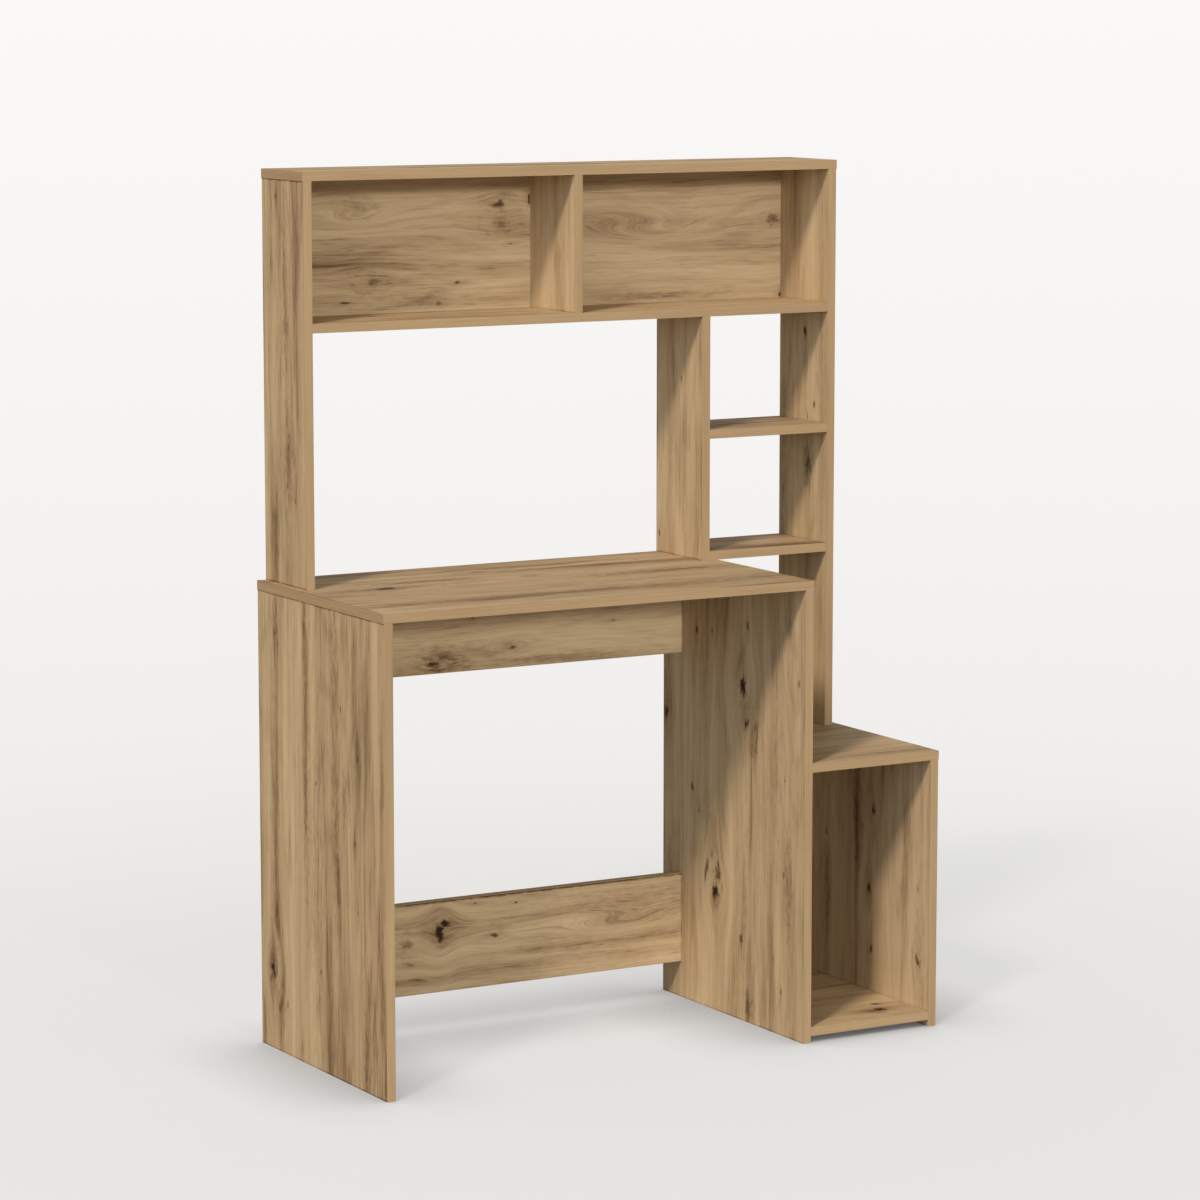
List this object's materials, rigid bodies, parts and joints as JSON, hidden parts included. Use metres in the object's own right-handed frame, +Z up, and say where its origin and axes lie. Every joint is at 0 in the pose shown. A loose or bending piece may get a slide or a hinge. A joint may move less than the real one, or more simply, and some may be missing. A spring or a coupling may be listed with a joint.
{
  "type": "student desk with hutch",
  "caption": "Wood-look student desk with an open hutch of shelves above it and a low open cabinet on the right, on panel sides, with an apron and a stretcher at the back.",
  "frame": {"origin": "on the floor, under the middle of the whole outline seen from above", "axes": "+X to the right and +Y to the back for someone who faces the desk, +Z up"},
  "size_m": [1.022, 0.4538, 1.422],
  "materials": {
    "oak_board": "satin wood-look melamine face on particle board",
    "oak_edge_band": "satin wood-look edge strip",
    "oak_back_sheet": "wood-look print on thin hardboard",
    "beech_dowel": "plain turned beech",
    "zinc_cam": "die-cast, dull",
    "steel_fastener": "zinc-plated"
  },
  "bodies": {
    "root": {"desktop": "oak_board", "desk_left_side": "oak_board", "desk_right_side": "oak_board", "rear_apron": "oak_board", "lower_stretcher": "oak_board", "cabinet_top": "oak_board", "cabinet_bottom": "oak_board", "cabinet_right_side": "oak_board", "hutch_left_upright": "oak_board", "hutch_divider_upright": "oak_board", "hutch_right_upright": "oak_board", "hutch_top": "oak_board", "hutch_shelf": "oak_board", "hutch_centre_divider": "oak_board", "side_shelf_middle": "oak_board", "side_shelf_lower": "oak_board", "desktop_edge_band": "oak_edge_band", "desk_left_side_edge_band": "oak_edge_band", "desk_right_side_edge_band": "oak_edge_band", "rear_apron_edge_band": "oak_edge_band", "lower_stretcher_edge_band": "oak_edge_band", "cabinet_top_edge_band": "oak_edge_band", "cabinet_bottom_edge_band": "oak_edge_band", "cabinet_right_side_edge_band": "oak_edge_band", "hutch_left_upright_edge_band": "oak_edge_band", "hutch_divider_upright_edge_band": "oak_edge_band", "hutch_right_upright_edge_band": "oak_edge_band", "hutch_top_edge_band": "oak_edge_band", "hutch_shelf_edge_band": "oak_edge_band", "hutch_centre_divider_edge_band": "oak_edge_band", "side_shelf_middle_edge_band": "oak_edge_band", "side_shelf_lower_edge_band": "oak_edge_band", "hutch_back_sheet": "oak_back_sheet", "dowels": "beech_dowel", "cams": "zinc_cam", "cam_bolts": "steel_fastener", "upright_screws": "steel_fastener", "back_sheet_pins": "steel_fastener"}
  },
  "joints": []
}
